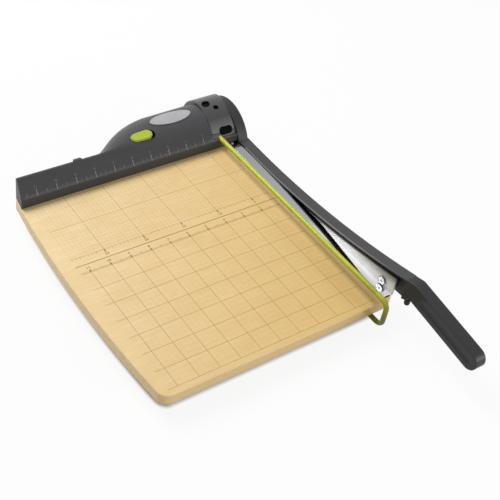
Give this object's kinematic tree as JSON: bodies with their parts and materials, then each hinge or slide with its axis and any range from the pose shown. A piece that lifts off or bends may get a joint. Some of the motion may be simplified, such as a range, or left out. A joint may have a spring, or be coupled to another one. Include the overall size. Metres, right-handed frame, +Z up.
{
  "type": "guillotine paper cutter",
  "caption": "Guillotine paper cutter: bowed wooden board with a steel bed knife, ruler bar, guard rail, sliding lock and a curved arm that carries the blade and handle.",
  "frame": {"origin": "centre of the overall box at the bottom of the rubber feet", "axes": "+X from the board towards the arm, +Y from the handle towards the pivot, +Z up"},
  "size_m": [0.3224, 0.5344, 0.071],
  "materials": {
    "maple": "clear satin lacquer over pale maple",
    "polished_steel": "ground and polished",
    "zinc_steel": "bright zinc plated",
    "spring_steel": "blued spring steel",
    "bronze": "plain sintered bronze",
    "housing_plastic": "charcoal, satin",
    "arm_paint": "charcoal fine-texture paint",
    "grip_plastic": "charcoal soft satin",
    "badge_grey": "light grey satin, bare",
    "lime_plastic": "lime green gloss",
    "lime_paint": "lime green gloss paint",
    "rubber": "matt black"
  },
  "bodies": {
    "base": {"board": "maple", "ledger_strip": "polished_steel", "ledger_screws": "zinc_steel", "ruler_housing": "housing_plastic", "housing_screws": "zinc_steel", "pivot_cover": "housing_plastic", "cover_screws": "zinc_steel", "badge_plate": "badge_grey", "pivot_bracket": "zinc_steel", "bracket_screws": "zinc_steel", "pivot_bolt": "zinc_steel", "pivot_nut": "zinc_steel", "nut_washer": "zinc_steel", "head_washer": "zinc_steel", "lift_spring": "spring_steel", "guard_rail": "lime_paint", "rail_clip": "grip_plastic", "rail_clip_screws": "zinc_steel", "foot_front_left": "rubber", "foot_front_right": "rubber", "foot_back_left": "rubber", "foot_back_right": "rubber", "foot_screws": "zinc_steel"},
    "arm": {"arm": "arm_paint", "lock_lug": "spring_steel", "blade": "polished_steel", "blade_screws": "zinc_steel", "handle_grip": "grip_plastic", "grip_screws": "zinc_steel", "stop_peg": "rubber", "pivot_bushing": "bronze"},
    "lock": {"lock_button": "lime_plastic", "lock_bolt": "spring_steel"}
  },
  "joints": [
    {"name": "arm_hinge", "type": "hinge", "parent": "base", "child": "arm", "pos_m": [0.1525, 0.21594, 0.015], "axis": [-1, 0, 0], "range_deg": [0, 50]},
    {"name": "lock_slide", "type": "slide", "parent": "base", "child": "lock", "axis": [1, 0, 0], "range_m": [0, 0.0045]}
  ]
}
